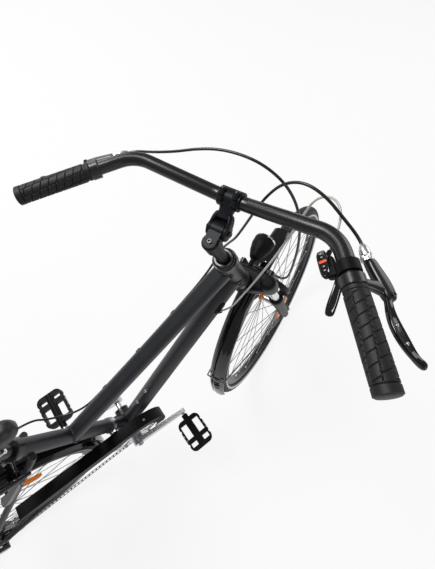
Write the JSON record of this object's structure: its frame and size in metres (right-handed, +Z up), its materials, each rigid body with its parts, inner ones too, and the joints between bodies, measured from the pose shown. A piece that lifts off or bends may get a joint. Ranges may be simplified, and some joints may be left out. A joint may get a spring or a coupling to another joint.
{
  "type": "bicycle",
  "caption": "City and touring bicycle with a trapeze frame, sprung fork, swept handlebar, mudguards, rack, lamps and chain guard, parked on its side stand.",
  "frame": {"origin": "on the floor under the middle of the whole bicycle's box as it stands on its side stand", "axes": "+X towards the front wheel, +Y to the rider's left, +Z up from the floor"},
  "size_m": [1.7534, 0.6614, 1.18],
  "materials": {
    "frame_paint": "satin",
    "black_metal": "satin",
    "fork_paint": "satin",
    "bright_steel": "polished",
    "silver_alloy": "satin",
    "steel": "satin",
    "rim_black": "satin",
    "tyre": "matte",
    "rubber": "matte",
    "saddle_cover": "matte",
    "gloss_black": "gloss",
    "matt_black": "matte",
    "grey_sleeve": "matte",
    "lens": "clear",
    "red_lens": "gloss"
  },
  "bodies": {
    "frame": {"head_tube": "frame_paint", "top_tube": "frame_paint", "down_tube": "frame_paint", "seat_tube": "frame_paint", "bottom_bracket_shell": "frame_paint", "bottom_bracket_cups": "black_metal", "chainstays": "frame_paint", "seatstays": "frame_paint", "headset_cups": "black_metal", "seat_clamp": "black_metal", "seat_post": "black_metal", "saddle_rails": "bright_steel", "saddle": "saddle_cover", "rear_mudguard": "gloss_black", "rear_mudguard_stays": "steel", "rear_rack": "black_metal", "rear_lamp": "red_lens", "chain_guard": "matt_black", "guard_clamp": "silver_alloy", "chain": "steel", "rear_derailleur": "black_metal", "rear_axle": "steel", "rear_brake": "black_metal", "stand_bracket": "black_metal", "rear_brake_cable": "rubber", "shift_cable": "grey_sleeve"},
    "steering": {"fork_crown": "black_metal", "headset_locknut": "black_metal", "fork_stanchions": "bright_steel", "fork_seals": "rubber", "fork_lowers": "fork_paint", "front_axle": "steel", "stem_quill": "black_metal", "stem_arm": "black_metal", "stem_face_plate": "black_metal", "handlebar": "black_metal", "grips": "rubber", "brake_levers": "black_metal", "shifter": "matt_black", "headlamp": "gloss_black", "headlamp_lens": "lens", "front_mudguard": "gloss_black", "front_mudguard_stays": "steel", "front_brake": "black_metal", "front_brake_cable": "rubber"},
    "front_wheel": {"front_tyre": "tyre", "front_rim": "rim_black", "front_hub": "silver_alloy", "front_spokes": "steel"},
    "rear_wheel": {"rear_tyre": "tyre", "rear_rim": "rim_black", "rear_hub": "silver_alloy", "rear_spokes": "steel", "sprockets": "steel"},
    "crankset": {"cranks": "silver_alloy", "chainring": "silver_alloy"},
    "left_pedal": {"pedal_left": "matt_black"},
    "right_pedal": {"pedal_right": "matt_black"},
    "stand": {"stand_leg": "black_metal"}
  },
  "joints": [
    {"name": "steering_turn", "type": "hinge", "parent": "frame", "child": "steering", "pos_m": [0.35516, -0.02337, 0.77965], "axis": [-0.3224, 0.1154, 0.9396], "range_deg": [-81, 39], "deforming": ["rear_brake_cable", "shift_cable"]},
    {"name": "front_wheel_spin", "type": "hinge", "parent": "steering", "child": "front_wheel", "pos_m": [0.54637, -0.06203, 0.34126], "axis": [-0.3392, 0.9125, -0.2284], "continuous": true},
    {"name": "rear_wheel_spin", "type": "hinge", "parent": "frame", "child": "rear_wheel", "pos_m": [-0.5125, -0.07643, 0.34754], "axis": [0, 0.9925, -0.1219], "continuous": true},
    {"name": "crank_spin", "type": "hinge", "parent": "frame", "child": "crankset", "pos_m": [-0.06822, -0.08514, 0.27657], "axis": [0, 0.9925, -0.1219], "continuous": true},
    {"name": "right_pedal_spin", "type": "hinge", "parent": "crankset", "child": "right_pedal", "pos_m": [0.08624, -0.24268, 0.22436], "axis": [0, 0.9925, -0.1219], "continuous": true},
    {"name": "left_pedal_spin", "type": "hinge", "parent": "crankset", "child": "left_pedal", "pos_m": [-0.22268, 0.0724, 0.32878], "axis": [0, 0.9925, -0.1219], "continuous": true},
    {"name": "stand_fold", "type": "hinge", "parent": "frame", "child": "stand", "pos_m": [-0.46057, 0.0164, 0.31581], "axis": [0.2093, 0.9368, 0.2803], "range_deg": [0, 110.15]}
  ]
}
